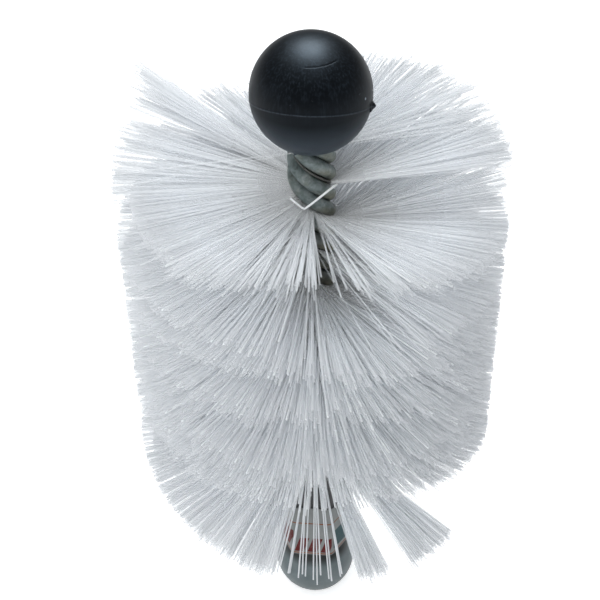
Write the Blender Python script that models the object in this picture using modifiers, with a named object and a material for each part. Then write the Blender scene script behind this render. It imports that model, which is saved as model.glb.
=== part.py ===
"""Chimney sweep brush: a four-wire left-hand twisted stem with helical nylon bristle fans.

A black guide ball is moulded on the upper end of the stem. The lower end is crimped in a
ferrule inside a black six-sided grip with a card label, and screws into a round end weight
whose flat foot holds the socket for the sweeping rod.
Lengths are in metres, +Z is up, and the origin is the middle of the flat foot.
"""

import math

import bmesh
import bpy
import numpy as np
from mathutils import Matrix, Vector

# Guide ball
GUIDE_BALL_D = 0.0612
SEAM_DROP = 0.0037
SEAM_RISE = 0.0003
SEAM_W = 0.0012
SEAM_TILT = math.radians(13.5)
SEAM_ROLL = math.radians(2.0)
NUB_BASE_D = 0.0044
NUB_TIP_D = 0.0010
NUB_L = 0.0022
NUB_ROOT = 0.0015
NUB_AZIMUTH = math.radians(-12.8)

# Twisted stem
WIRE_D = 0.0074
WIRE_GAP = 0.0004
TWIST_PITCH = 0.045
PACK_T = 0.0027
PACK_CLEARANCE = 0.0007
FRONT_EXIT_DROP = 0.040

# Bristle fans
BRUSH_D = 0.206
FAN_COUNT = 9
ROOTS_PER_FAN = 26
FAN_GAP = 0.0003
PACK_DEPTH = 0.0015
TIP_SHARE = 0.90
LAYER_TILT = math.radians(2.6)
UNEVEN_TRIM = 0.0016
WORN_TRIM = 0.0085
WORN_LOW_TRIM = 0.0055
# Tilt of the strands in degrees for each side of the pack, against the turns that their roots
# lie below the edge that first faces the front. The second side faces it half a turn later.
TILT_BY_TURN_SHARES = (
    (
        (-0.20, -1.0), (-0.09, 5.0), (0.00, 12.0), (0.13, 6.0), (0.22, 3.0), (0.30, 0.0),
        (0.44, 3.0), (0.76, 0.0), (1.00, -1.5), (1.11, 0.0), (1.76, 0.0), (2.00, 4.5),
        (2.24, 0.0), (3.76, 0.0), (3.83, -2.0), (3.89, -8.0), (3.95, -12.0), (4.13, -12.0),
        (4.20, -8.0), (4.30, -4.0),
    ),
    (
        (-0.20, -1.5), (-0.14, 4.0), (0.00, 5.0), (0.08, -2.5), (0.12, -1.0), (0.13, 16.0),
        (0.18, 24.0), (0.19, 6.0), (0.24, 6.0), (0.30, 0.0), (0.36, 0.0), (0.50, 13.0),
        (0.62, 6.0), (0.80, 0.0), (1.38, 3.0), (1.50, 7.0), (1.76, 0.0), (2.38, -3.0),
        (2.50, -5.0), (2.76, 0.0), (3.24, 3.0), (3.36, 8.0), (3.50, 7.0), (3.64, 3.5),
        (3.82, 0.0), (4.20, 0.0), (4.30, 8.0),
    ),
)
# Arcs seen from the front, growing to the right, where strands are lost or worn
BARE_ARC = (math.radians(-75.0), math.radians(66.0))
THIN_ARC = (math.radians(-42.0), math.radians(42.0))
WORN_ARC = (math.radians(-94.0), math.radians(-42.0))
LAST_THIN_ARC = (math.radians(-100.0), math.radians(7.0))
LAST_TUFT_ARC = (math.radians(7.0), math.radians(19.0))
LAST_BARE_ARC = (math.radians(19.0), math.radians(26.0))
LAST_WIDE_TUFT_ARC = (math.radians(26.0), math.radians(46.0))
LAST_EMPTY_ARC = (math.radians(46.0), math.radians(100.0))
THIN_TURNS_SHARES = (0.38, 0.62)
WORN_TURNS_SHARES = (0.24, 2.24)
WORN_LOW_TURNS_SHARE = 3.10
LAST_TURNS_SHARE = 3.74

# Ferrules on the two ends of the stem
FIT_GAP = 0.0003
FERRULE_WALL = 0.0024
FERRULE_END_T = 0.004
FLANGE_RISE = 0.0018
FLANGE_L = 0.005
BALL_MOUTH_WALL = 0.0016
BALL_COVER = 0.0145
GRIP_FERRULE_SETBACK = 0.002
SHANK_D = 0.012

# Six-sided grip and its label
GRIP_AF = 0.0414
GRIP_H = 0.077
GRIP_CORNER_R = 0.0022
GRIP_SHOULDER = 0.004
GRIP_WEB = 0.0092
GRIP_TURN = math.radians(-5.0)
GRIP_TO_BRISTLES = 0.0032
LABEL_T = 0.0005
LABEL_H = 0.042

# End weight, its rod socket and the locking pin
END_BALL_D = 0.050
FOOT_D = 0.0357
FOOT_CHAMFER = 0.0008
NECK_D = 0.028
NECK_H = 0.010
SOCKET_WALL = 0.0045
INSERT_D = 0.018
INSERT_L = 0.016
ROD_CORE_D = 0.0102
ROD_MOUTH = 0.0010
PIN_D = 0.005
PIN_CHAMFER = 0.0006
BALL_TO_BRISTLES = 0.0004

# One overrun for every cut, and the fineness of round pieces
OVERRUN = 0.002
BALL_STEPS = 36
BALL_ARC_POINTS = 20
WEIGHT_ARC_POINTS = 13
TURN_STEPS = 28
WIRE_POINTS_PER_TURN = 14
MERGE = 0.00001

FRONT = math.radians(-90.0)
BODY = bpy.data.collections.new("chimney_sweep_brush")
CUTTERS = bpy.data.collections.new("cutters")


def lead_angle(radius):
    """Climb of a helix of this radius, measured from the horizontal."""
    return math.atan2(TWIST_PITCH, math.tau * radius)


def half_pair_angle(radius):
    """Half the angle between the two wires that lie against each other."""
    return (WIRE_D + WIRE_GAP) / (2.0 * radius * math.sin(lead_angle(radius)))


def pack_space(radius):
    """Free half thickness between the two wire pairs, in a horizontal section."""
    half_pair = half_pair_angle(radius)
    along = WIRE_D / 2.0 / math.sin(lead_angle(radius)) * math.sin(half_pair)
    across = WIRE_D / 2.0 * math.cos(half_pair)
    return radius * math.cos(half_pair) - math.hypot(along, across)


def closing_radius():
    """Helix radius at which the pairs close on the bristle pack, found by halving."""
    low = WIRE_D / 2.0
    high = WIRE_D * 4.0
    wanted = PACK_T / 2.0 + PACK_CLEARANCE
    for _ in range(60):
        middle = (low + high) / 2.0
        if pack_space(middle) < wanted:
            low = middle
        else:
            high = middle
    return high


HELIX_R = closing_radius()
STEM_R = HELIX_R + WIRE_D / 2.0
PACK_R = STEM_R - PACK_DEPTH
FAN_H = TWIST_PITCH / 2.0

END_R = END_BALL_D / 2.0
END_Z = math.sqrt(END_R ** 2 - (FOOT_D / 2.0) ** 2)
NECK_R = NECK_D / 2.0
RECESS_R = NECK_R + FIT_GAP
GRIP_Z = END_Z + math.sqrt(END_R ** 2 - RECESS_R ** 2) + FIT_GAP
NECK_TOP_Z = GRIP_Z + NECK_H
RECESS_TOP_Z = NECK_TOP_Z + FIT_GAP
GRIP_TOP_Z = GRIP_Z + GRIP_H
FAN_Z = GRIP_TOP_Z + GRIP_TO_BRISTLES
FAN_TOP_Z = FAN_Z + FAN_COUNT * FAN_H
GUIDE_R = GUIDE_BALL_D / 2.0
GUIDE_Z = FAN_TOP_Z + BALL_TO_BRISTLES + GUIDE_R

BORE_R = STEM_R + FIT_GAP
FERRULE_R = BORE_R + FERRULE_WALL
FLANGE_R = FERRULE_R + FLANGE_RISE
BALL_MOUTH_R = FERRULE_R + FIT_GAP + BALL_MOUTH_WALL
BALL_FERRULE_Z = GUIDE_Z - math.sqrt(GUIDE_R ** 2 - BALL_MOUTH_R ** 2)
BALL_FERRULE_TOP_Z = GUIDE_Z + GUIDE_R - BALL_COVER
STEM_TOP_Z = BALL_FERRULE_TOP_Z - FERRULE_END_T - WIRE_D / 2.0
GRIP_FERRULE_TOP_Z = GRIP_TOP_Z - GRIP_FERRULE_SETBACK
GRIP_FERRULE_Z = RECESS_TOP_Z + GRIP_WEB
STEM_Z = GRIP_FERRULE_Z + FERRULE_END_T + WIRE_D / 2.0
SHANK_Z = INSERT_L + FIT_GAP + SOCKET_WALL
PIN_Z = (RECESS_TOP_Z + GRIP_FERRULE_Z) / 2.0


def clear_scene():
    for obj in list(bpy.data.objects):
        bpy.data.objects.remove(obj, do_unlink=True)
    bpy.context.scene.collection.children.link(BODY)
    bpy.context.scene.collection.children.link(CUTTERS)


def material(name, colour, roughness, metallic=0.0):
    made = bpy.data.materials.new(name)
    made.use_nodes = True
    shader = made.node_tree.nodes["Principled BSDF"]
    shader.inputs["Base Color"].default_value = (*colour, 1.0)
    shader.inputs["Roughness"].default_value = roughness
    shader.inputs["Metallic"].default_value = metallic
    made.diffuse_color = (*colour, 1.0)
    return made


def place(name, data, finish):
    obj = bpy.data.objects.new(name, data)
    BODY.objects.link(obj)
    data.materials.append(finish)
    return obj


def smooth(mesh, angle=math.radians(35.0)):
    mesh.shade_smooth()
    mesh.set_sharp_from_angle(angle=angle)


def baked(obj):
    """The object's mesh with its modifiers applied."""
    depsgraph = bpy.context.evaluated_depsgraph_get()
    mesh = bpy.data.meshes.new_from_object(obj.evaluated_get(depsgraph))
    obj.modifiers.clear()
    obj.data = mesh
    smooth(mesh)
    return obj


def turned(name, outline, steps, finish, ring=False):
    """A turned solid: the outline runs down the outer side as pairs of radius and height."""
    mesh = bpy.data.meshes.new(name)
    count = len(outline)
    edges = [(i, i + 1) for i in range(count - 1)]
    if ring:
        edges.append((count - 1, 0))
    mesh.from_pydata([(radius, 0.0, height) for radius, height in outline], edges, [])
    obj = place(name, mesh, finish)
    screw = obj.modifiers.new("turn", "SCREW")
    screw.axis = "Z"
    screw.angle = math.tau
    screw.steps = steps
    screw.render_steps = steps
    screw.use_merge_vertices = True
    screw.merge_threshold = MERGE
    return baked(obj)


def as_cutter(obj):
    BODY.objects.unlink(obj)
    CUTTERS.objects.link(obj)
    obj.hide_render = True
    obj.display_type = "WIRE"
    return obj


def boolean(obj, other, operation="DIFFERENCE"):
    step = obj.modifiers.new(operation.lower(), "BOOLEAN")
    step.operation = operation
    step.solver = "EXACT"
    step.object = as_cutter(other)


def cylinder_between(name, radius, low, high, finish, steps=TURN_STEPS):
    outline = [(0.0, high), (radius, high), (radius, low), (0.0, low)]
    return turned(name, outline, steps, finish)


def hex_wall(bm, across_flats, low, high, caps):
    """A six-sided tube with rounded corners, one flat turned to the front."""
    side = bmesh.ops.create_cone(
        bm,
        cap_ends=caps,
        segments=6,
        radius1=across_flats / math.sqrt(3.0),
        radius2=across_flats / math.sqrt(3.0),
        depth=high - low,
        matrix=Matrix.Translation((0.0, 0.0, (low + high) / 2.0))
        @ Matrix.Rotation(GRIP_TURN + math.pi / 6.0, 4, "Z"),
    )
    upright = {
        edge
        for vert in side["verts"]
        for edge in vert.link_edges
        if abs(edge.verts[0].co.z - edge.verts[1].co.z) > (high - low) / 2.0
    }
    bmesh.ops.bevel(
        bm,
        geom=list(upright),
        offset=GRIP_CORNER_R,
        offset_type="OFFSET",
        segments=3,
        profile=0.5,
        affect="EDGES",
    )


def fan_angle(height):
    """Direction in plan of one side of the bristle pack: it turns left-handed."""
    front_z = GUIDE_Z - FRONT_EXIT_DROP
    return FRONT - math.tau * (height - front_z) / TWIST_PITCH


def stem_wires(finish):
    """Four wires in two touching pairs, with the bristle pack between the pairs."""
    half_pair = half_pair_angle(HELIX_R)
    turns = (STEM_TOP_Z - STEM_Z) / TWIST_PITCH
    steps = round(turns * WIRE_POINTS_PER_TURN)
    offsets = [
        side * math.pi / 2.0 + turn * half_pair
        for side in (1.0, -1.0)
        for turn in (-1.0, 1.0)
    ]
    for number, offset in enumerate(offsets, start=1):
        curve = bpy.data.curves.new(f"stem_wire_{number}", "CURVE")
        curve.dimensions = "3D"
        curve.bevel_depth = WIRE_D / 2.0
        curve.bevel_resolution = 2
        curve.use_fill_caps = True
        spline = curve.splines.new("POLY")
        spline.points.add(steps)
        for step in range(steps + 1):
            height = STEM_Z + (STEM_TOP_Z - STEM_Z) * step / steps
            angle = fan_angle(height) + offset
            across = HELIX_R * math.cos(angle)
            along = HELIX_R * math.sin(angle)
            spline.points[step].co = (across, along, height, 1.0)
        spline.use_smooth = True
        place(f"stem_wire_{number}", curve, finish)


def turns_below(height):
    """Turns of the pack between its first front edge and a height under it."""
    return (GUIDE_Z - FRONT_EXIT_DROP - height) / TWIST_PITCH


def fan_tilt(side, turns):
    """Tilt of the strands of one side, read between the rows of its table."""
    rows = TILT_BY_TURN_SHARES[side]
    at, degrees = zip(*rows)
    return math.radians(float(np.interp(turns, at, degrees)))


def within(value, limits):
    return limits[0] <= value < limits[1]


def is_lost(side, turns, from_front, order):
    """Strands missing where the brush is worn bare or thin. The order counts along the edge."""
    if side == 0 and turns < FAN_H / TWIST_PITCH:
        return within(from_front, BARE_ARC)
    if side == 1 and within(turns, THIN_TURNS_SHARES) and within(from_front, THIN_ARC):
        return order % 2 == 1
    if side == 0 and turns > LAST_TURNS_SHARE:
        if within(from_front, LAST_THIN_ARC):
            return order % 3 != 0
        return within(from_front, LAST_BARE_ARC) or within(from_front, LAST_EMPTY_ARC)
    return False


def reach_of(side, turns, from_front, order):
    """Length of a strand from the axis: the trim is uneven, and shorter where it is worn."""
    reach = BRUSH_D / 2.0 - UNEVEN_TRIM * (order * order % 5) / 4.0
    if within(from_front, WORN_ARC):
        if within(turns, WORN_TURNS_SHARES) and order % 4 != 0:
            reach -= WORN_TRIM
        elif side == 1 and turns > WORN_LOW_TURNS_SHARE:
            reach -= WORN_LOW_TRIM
    return reach


def bristle_fan(number, finish):
    """Half a turn of the bristle pack: a twisted slab with its strands drawn out of its edges."""
    top = FAN_TOP_Z - (number - 1) * FAN_H - FAN_GAP / 2.0
    low = top - FAN_H + FAN_GAP
    bm = bmesh.new()
    bmesh.ops.create_cube(bm, size=1.0)
    slab = Matrix.Diagonal((2.0 * PACK_R, PACK_T, top - low, 1.0))
    bmesh.ops.transform(bm, matrix=slab, verts=bm.verts)
    bmesh.ops.translate(bm, vec=(0.0, 0.0, (top + low) / 2.0), verts=bm.verts)
    cuts = [((0.0, 0.0, 0.0), (0.0, 1.0, 0.0)), ((0.0, 0.0, 0.0), (1.0, 0.0, 0.0))]
    for level in range(1, ROOTS_PER_FAN):
        height = low + (top - low) * level / ROOTS_PER_FAN
        cuts.append(((0.0, 0.0, height), (0.0, 0.0, 1.0)))
    for point, normal in cuts:
        everything = bm.verts[:] + bm.edges[:] + bm.faces[:]
        bmesh.ops.bisect_plane(bm, geom=everything, plane_co=point, plane_no=normal)

    roots = []
    for face in bm.faces:
        if abs(face.normal.x) < 0.5:
            continue
        centre = face.calc_center_median()
        level = int((centre.z - low) / (top - low) * ROOTS_PER_FAN)
        leading = (centre.y > 0.0) == (centre.x > 0.0)
        if (level + leading) % 2 == 0:
            roots.append((face, centre.copy(), leading))

    for vert in bm.verts:
        vert.co = Matrix.Rotation(fan_angle(vert.co.z), 3, "Z") @ vert.co

    half_level = (top - low) / ROOTS_PER_FAN / 2.0
    for face, flat_centre, leading in roots:
        side = 0 if flat_centre.x > 0.0 else 1
        angle = fan_angle(flat_centre.z) + side * math.pi
        from_front = math.remainder(angle - FRONT, math.tau)
        turns = turns_below(flat_centre.z)
        order = round(turns * TWIST_PITCH / half_level / 2.0)
        if is_lost(side, turns, from_front, order):
            continue
        # two strands share a tilt, the upper one leans up and the lower one down
        pair_z = flat_centre.z + (-half_level if leading else half_level)
        tilt = fan_tilt(side, turns_below(pair_z)) + (LAYER_TILT if leading else -LAYER_TILT)
        reach = reach_of(side, turns, from_front, order)
        centre = face.calc_center_median()
        tip = Vector((
            reach * math.cos(angle),
            reach * math.sin(angle),
            flat_centre.z + (reach - PACK_R) * math.tan(tilt),
        ))
        strand = bmesh.ops.extrude_discrete_faces(bm, faces=[face])["faces"][0]
        for vert in strand.verts:
            vert.co = tip + (vert.co - centre) * TIP_SHARE

    mesh = bpy.data.meshes.new(f"bristle_fan_{number}")
    bmesh.ops.recalc_face_normals(bm, faces=bm.faces)
    bm.to_mesh(mesh)
    bm.free()
    place(f"bristle_fan_{number}", mesh, finish)


def guide_ball(finish):
    """A moulded ball turned about its mould axis, so that the seam is a ridge of the outline."""
    seam_at = -SEAM_DROP
    half_w = SEAM_W / 2.0

    def on_ball(height):
        return math.sqrt(max(0.0, GUIDE_R ** 2 - height ** 2))

    outline = []
    for index in range(BALL_ARC_POINTS + 1):
        height = GUIDE_R * math.cos(math.pi * index / BALL_ARC_POINTS)
        if abs(height - seam_at) > SEAM_W:
            outline.append((on_ball(height), height))
    outline[0] = (0.0, GUIDE_R)
    outline[-1] = (0.0, -GUIDE_R)
    ridge = [
        (on_ball(seam_at + half_w), seam_at + half_w),
        (on_ball(seam_at) + SEAM_RISE, seam_at),
        (on_ball(seam_at - half_w), seam_at - half_w),
    ]
    outline = sorted(outline + ridge, key=lambda point: -point[1])
    ball = turned("guide_ball", outline, BALL_STEPS, finish)
    ball.location = (0.0, 0.0, GUIDE_Z)
    ball.rotation_euler = (-SEAM_TILT, SEAM_ROLL, 0.0)

    nub_mesh = bpy.data.meshes.new("moulding_nub")
    bm = bmesh.new()
    outward = Vector((math.cos(NUB_AZIMUTH), math.sin(NUB_AZIMUTH), 0.0))
    seam_r = on_ball(seam_at)
    middle = outward * (seam_r + (NUB_L - NUB_ROOT) / 2.0)
    middle.z = seam_at
    bmesh.ops.create_cone(
        bm,
        cap_ends=True,
        segments=10,
        radius1=NUB_BASE_D / 2.0,
        radius2=NUB_TIP_D / 2.0,
        depth=NUB_L + NUB_ROOT,
        matrix=Matrix.Translation(middle)
        @ Vector((0.0, 0.0, 1.0)).rotation_difference(outward).to_matrix().to_4x4(),
    )
    bm.to_mesh(nub_mesh)
    bm.free()
    nub = place("moulding_nub", nub_mesh, finish)
    nub.location = ball.location
    nub.rotation_euler = ball.rotation_euler
    boolean(ball, nub, "UNION")

    seat = [
        (0.0, BALL_FERRULE_TOP_Z + FIT_GAP),
        (FLANGE_R + FIT_GAP, BALL_FERRULE_TOP_Z + FIT_GAP),
        (FLANGE_R + FIT_GAP, BALL_FERRULE_TOP_Z - FLANGE_L - FIT_GAP),
        (FERRULE_R + FIT_GAP, BALL_FERRULE_TOP_Z - FLANGE_L - FIT_GAP),
        (FERRULE_R + FIT_GAP, BALL_FERRULE_Z - FIT_GAP),
        (BORE_R, BALL_FERRULE_Z - FIT_GAP),
        (BORE_R, GUIDE_Z - GUIDE_R - OVERRUN),
        (0.0, GUIDE_Z - GUIDE_R - OVERRUN),
    ]
    boolean(ball, turned("ball_seat", seat, TURN_STEPS, finish))


def ball_ferrule(finish):
    """A flanged cup crimped over the wire ends, round which the ball is moulded."""
    outline = [
        (0.0, BALL_FERRULE_TOP_Z),
        (FLANGE_R, BALL_FERRULE_TOP_Z),
        (FLANGE_R, BALL_FERRULE_TOP_Z - FLANGE_L),
        (FERRULE_R, BALL_FERRULE_TOP_Z - FLANGE_L),
        (FERRULE_R, BALL_FERRULE_Z),
        (BORE_R, BALL_FERRULE_Z),
        (BORE_R, BALL_FERRULE_TOP_Z - FERRULE_END_T),
        (0.0, BALL_FERRULE_TOP_Z - FERRULE_END_T),
    ]
    turned("ball_ferrule", outline, TURN_STEPS, finish)


def cross_hole(name, radius, finish):
    """A cutter across the grip at the height of the locking pin."""
    reach = GRIP_AF / 2.0 + OVERRUN
    hole = cylinder_between(name, radius, -reach, reach, finish, steps=16)
    hole.location = (0.0, 0.0, PIN_Z)
    hole.rotation_euler = (math.radians(90.0), 0.0, GRIP_TURN)
    return hole


def stem_ferrule(finish):
    """A cup crimped over the lower wire ends, with a screwed shank for the end weight."""
    shank_r = SHANK_D / 2.0
    outline = [
        (BORE_R, GRIP_FERRULE_TOP_Z),
        (FERRULE_R, GRIP_FERRULE_TOP_Z),
        (FERRULE_R, GRIP_FERRULE_Z),
        (shank_r, GRIP_FERRULE_Z),
        (shank_r, SHANK_Z),
        (0.0, SHANK_Z),
    ]
    bore = [(0.0, GRIP_FERRULE_Z + FERRULE_END_T), (BORE_R, GRIP_FERRULE_Z + FERRULE_END_T)]
    obj = turned("stem_ferrule", bore + outline, TURN_STEPS, finish)
    boolean(obj, cross_hole("shank_pin_hole", PIN_D / 2.0 + FIT_GAP, finish))


def grip_sleeve(finish):
    """The six-sided grip, bored for the ferrule, the shank and the neck of the end weight."""
    bm = bmesh.new()
    hex_wall(bm, GRIP_AF, GRIP_Z, GRIP_TOP_Z, caps=True)
    rim = [
        edge
        for edge in bm.edges
        if min(vert.co.z for vert in edge.verts) > GRIP_TOP_Z - GRIP_SHOULDER
    ]
    bmesh.ops.bevel(
        bm,
        geom=rim,
        offset=GRIP_SHOULDER,
        offset_type="OFFSET",
        segments=3,
        profile=0.5,
        affect="EDGES",
        clamp_overlap=True,
    )
    mesh = bpy.data.meshes.new("grip_sleeve")
    bm.to_mesh(mesh)
    bm.free()
    smooth(mesh)
    grip = place("grip_sleeve", mesh, finish)
    shank_r = SHANK_D / 2.0
    bores = [
        (0.0, GRIP_TOP_Z + OVERRUN),
        (FERRULE_R + FIT_GAP, GRIP_TOP_Z + OVERRUN),
        (FERRULE_R + FIT_GAP, GRIP_FERRULE_Z - FIT_GAP),
        (shank_r + FIT_GAP, GRIP_FERRULE_Z - FIT_GAP),
        (shank_r + FIT_GAP, RECESS_TOP_Z),
        (RECESS_R, RECESS_TOP_Z),
        (RECESS_R, GRIP_Z - OVERRUN),
        (0.0, GRIP_Z - OVERRUN),
    ]
    boolean(grip, turned("grip_bores", bores, TURN_STEPS, finish))
    boolean(grip, cross_hole("grip_pin_hole", PIN_D / 2.0 + FIT_GAP, finish))


def label_sleeve(finish):
    """A card label folded round the lower part of the grip."""
    bm = bmesh.new()
    inner_af = GRIP_AF + 2.0 * FIT_GAP
    hex_wall(bm, inner_af, GRIP_Z, GRIP_Z + LABEL_H, caps=False)
    mesh = bpy.data.meshes.new("label_sleeve")
    bmesh.ops.recalc_face_normals(bm, faces=bm.faces)
    bm.to_mesh(mesh)
    bm.free()
    label = place("label_sleeve", mesh, finish)
    card = label.modifiers.new("card", "SOLIDIFY")
    card.thickness = LABEL_T
    card.offset = 1.0
    card.use_even_offset = True


def locking_pin(finish):
    """A chamfered pin through the grip and the shank, hidden under the label."""
    half = GRIP_AF / 2.0 - FIT_GAP
    radius = PIN_D / 2.0
    outline = [
        (0.0, half),
        (radius - PIN_CHAMFER, half),
        (radius, half - PIN_CHAMFER),
        (radius, PIN_CHAMFER - half),
        (radius - PIN_CHAMFER, -half),
        (0.0, -half),
    ]
    pin = turned("locking_pin", outline, 16, finish)
    pin.location = (0.0, 0.0, PIN_Z)
    pin.rotation_euler = (math.radians(90.0), 0.0, GRIP_TURN)


def end_weight(finish):
    """A cast ball with a flat foot and a neck that seats in the grip."""
    steps = WEIGHT_ARC_POINTS
    start = math.asin(NECK_R / END_R)
    end = math.pi - math.asin(FOOT_D / 2.0 / END_R)
    outline = [(0.0, NECK_TOP_Z), (NECK_R, NECK_TOP_Z)]
    for index in range(steps + 1):
        angle = start + (end - start) * index / steps
        outline.append((END_R * math.sin(angle), END_Z + END_R * math.cos(angle)))
    outline[-1] = (FOOT_D / 2.0, FOOT_CHAMFER)
    outline.append((FOOT_D / 2.0 - FOOT_CHAMFER, 0.0))
    outline.append((0.0, 0.0))
    weight = turned("end_weight", outline, BALL_STEPS, finish)
    shank_hole = SHANK_D / 2.0 + FIT_GAP
    upper = cylinder_between(
        "shank_bore", shank_hole, SHANK_Z - FIT_GAP, NECK_TOP_Z + OVERRUN, finish
    )
    lower = cylinder_between(
        "insert_bore", INSERT_D / 2.0 + FIT_GAP, -OVERRUN, INSERT_L + FIT_GAP, finish
    )
    boolean(weight, upper)
    boolean(weight, lower)


def rod_insert(finish):
    """The bush in the foot that takes the screwed end of the sweeping rod."""
    outer = INSERT_D / 2.0
    core = ROD_CORE_D / 2.0
    outline = [
        (outer, INSERT_L),
        (outer, 0.0),
        (core + ROD_MOUTH, 0.0),
        (core, ROD_MOUTH),
        (core, INSERT_L),
    ]
    turned("rod_insert", outline, TURN_STEPS, finish, ring=True)


def build():
    clear_scene()
    black_rubber = material("guide_ball_black", (0.020, 0.022, 0.026), 0.42)
    galvanised = material("galvanised_wire", (0.30, 0.33, 0.33), 0.48, 0.85)
    nylon = material("white_nylon", (0.78, 0.80, 0.83), 0.38)
    crimp_steel = material("crimped_steel", (0.42, 0.42, 0.43), 0.40, 1.0)
    shank_steel = material("shank_steel", (0.38, 0.39, 0.40), 0.38, 1.0)
    black_plastic = material("grip_black", (0.012, 0.012, 0.013), 0.45)
    card = material("label_card", (0.62, 0.63, 0.60), 0.60)
    pin_steel = material("pin_steel", (0.50, 0.50, 0.51), 0.30, 1.0)
    grey_paint = material("end_weight_grey", (0.30, 0.34, 0.35), 0.42)
    brass = material("insert_brass", (0.72, 0.52, 0.22), 0.32, 1.0)

    guide_ball(black_rubber)
    ball_ferrule(crimp_steel)
    stem_wires(galvanised)
    for number in range(1, FAN_COUNT + 1):
        bristle_fan(number, nylon)
    stem_ferrule(shank_steel)
    grip_sleeve(black_plastic)
    label_sleeve(card)
    locking_pin(pin_steel)
    end_weight(grey_paint)
    rod_insert(brass)


build()
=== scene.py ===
"""Looks for the chimney sweep brush: strands, ball, stem, grip, label and end weight.

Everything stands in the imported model's frame: metres, +Z up the stem, -Y to the front. A drop is how
far a place lies below the ball's centre, in millimetres, and from_front is an angle round the stem in
degrees, from the front towards +X.
"""

import math

import bmesh
import bpy
import numpy as np
from mathutils import Matrix, Vector


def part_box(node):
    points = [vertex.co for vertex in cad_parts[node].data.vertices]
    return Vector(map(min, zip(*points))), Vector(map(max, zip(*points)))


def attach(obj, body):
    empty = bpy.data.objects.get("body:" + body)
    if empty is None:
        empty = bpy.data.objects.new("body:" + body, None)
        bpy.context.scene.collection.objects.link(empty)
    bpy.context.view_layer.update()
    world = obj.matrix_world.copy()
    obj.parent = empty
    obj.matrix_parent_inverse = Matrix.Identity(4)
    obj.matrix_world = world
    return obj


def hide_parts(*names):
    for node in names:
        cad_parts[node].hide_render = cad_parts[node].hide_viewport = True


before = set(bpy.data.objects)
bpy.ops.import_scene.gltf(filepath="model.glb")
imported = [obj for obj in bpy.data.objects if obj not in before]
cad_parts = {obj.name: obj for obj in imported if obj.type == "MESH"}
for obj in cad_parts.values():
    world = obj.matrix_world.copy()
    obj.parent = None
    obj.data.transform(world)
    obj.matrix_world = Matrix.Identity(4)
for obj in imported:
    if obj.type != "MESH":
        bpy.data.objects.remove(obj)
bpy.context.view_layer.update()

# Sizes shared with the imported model
TWIST_PITCH = 0.045
FRONT = math.radians(-90.0)
BALL_R = 0.0306
BALL_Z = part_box("guide_ball")[1].z - BALL_R
FRONT_EXIT_Z = BALL_Z - 0.040
PACK_TOP_Z = BALL_Z - 0.031
FAN_H = TWIST_PITCH / 2.0
FAN_COUNT = 9
WIRE_R = 0.0037
HELIX_R = 0.008868
STEM_R = HELIX_R + WIRE_R
WIRE_GAP = 0.0004
LEAD = math.atan2(TWIST_PITCH, math.tau * HELIX_R)
HALF_PAIR = (2.0 * WIRE_R + WIRE_GAP) / (2.0 * HELIX_R * math.sin(LEAD))
STEM_LOW_Z = 0.06551
STEM_TOP_Z = 0.36041
FIT_GAP = 0.0003
BORE_R = STEM_R + FIT_GAP
FERRULE_WALL = 0.0024
FERRULE_R = BORE_R + FERRULE_WALL
FLANGE_REACH = 0.0018
FLANGE_R = FERRULE_R + FLANGE_REACH
FLANGE_L = 0.005
BRUSH_R = 0.1030
SEAM_DROP = 0.0037
SEAM_TILT = math.radians(13.5)
SEAM_ROLL = math.radians(2.0)
NUB_AZIMUTH = math.radians(-12.8)

# Camera
PICTURE_PX = 600.0
FOCAL_PX = 1200.0
SENSOR_MM = 36.0
CAMERA_AT = Vector((0.0065, -0.5298, 0.6260))
CAMERA_PITCH = math.radians(37.13)
CAMERA_YAW = math.radians(-1.47)
CAMERA_ROLL = math.radians(-0.99)


def camera_axes():
    """Right, up and forward of the camera as unit vectors."""
    forward = Vector((
        math.sin(CAMERA_YAW) * math.cos(CAMERA_PITCH),
        math.cos(CAMERA_YAW) * math.cos(CAMERA_PITCH),
        -math.sin(CAMERA_PITCH),
    ))
    level = Vector((math.cos(CAMERA_YAW), -math.sin(CAMERA_YAW), 0.0))
    upright = level.cross(forward)
    right = level * math.cos(CAMERA_ROLL) + upright * math.sin(CAMERA_ROLL)
    up = upright * math.cos(CAMERA_ROLL) - level * math.sin(CAMERA_ROLL)
    return right, up, forward


def make_camera():
    right, up, forward = camera_axes()
    data = bpy.data.cameras.new("camera")
    data.sensor_fit = "HORIZONTAL"
    data.sensor_width = SENSOR_MM
    data.lens = data.sensor_width * FOCAL_PX / PICTURE_PX
    data.clip_start = 0.01
    data.clip_end = 50.0
    camera = bpy.data.objects.new("camera", data)
    turn = Matrix((right, up, -forward)).transposed().to_4x4()
    camera.matrix_world = Matrix.Translation(CAMERA_AT) @ turn
    bpy.context.scene.collection.objects.link(camera)
    bpy.context.scene.camera = camera


def seen_at(px, py, depth_y):
    """The point on the upright plane y = depth_y that shows at a pixel of the frame."""
    right, up, forward = camera_axes()
    ray = forward * FOCAL_PX + right * (px - PICTURE_PX / 2.0) - up * (py - PICTURE_PX / 2.0)
    return CAMERA_AT + ray * ((depth_y - CAMERA_AT.y) / ray.y)


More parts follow.
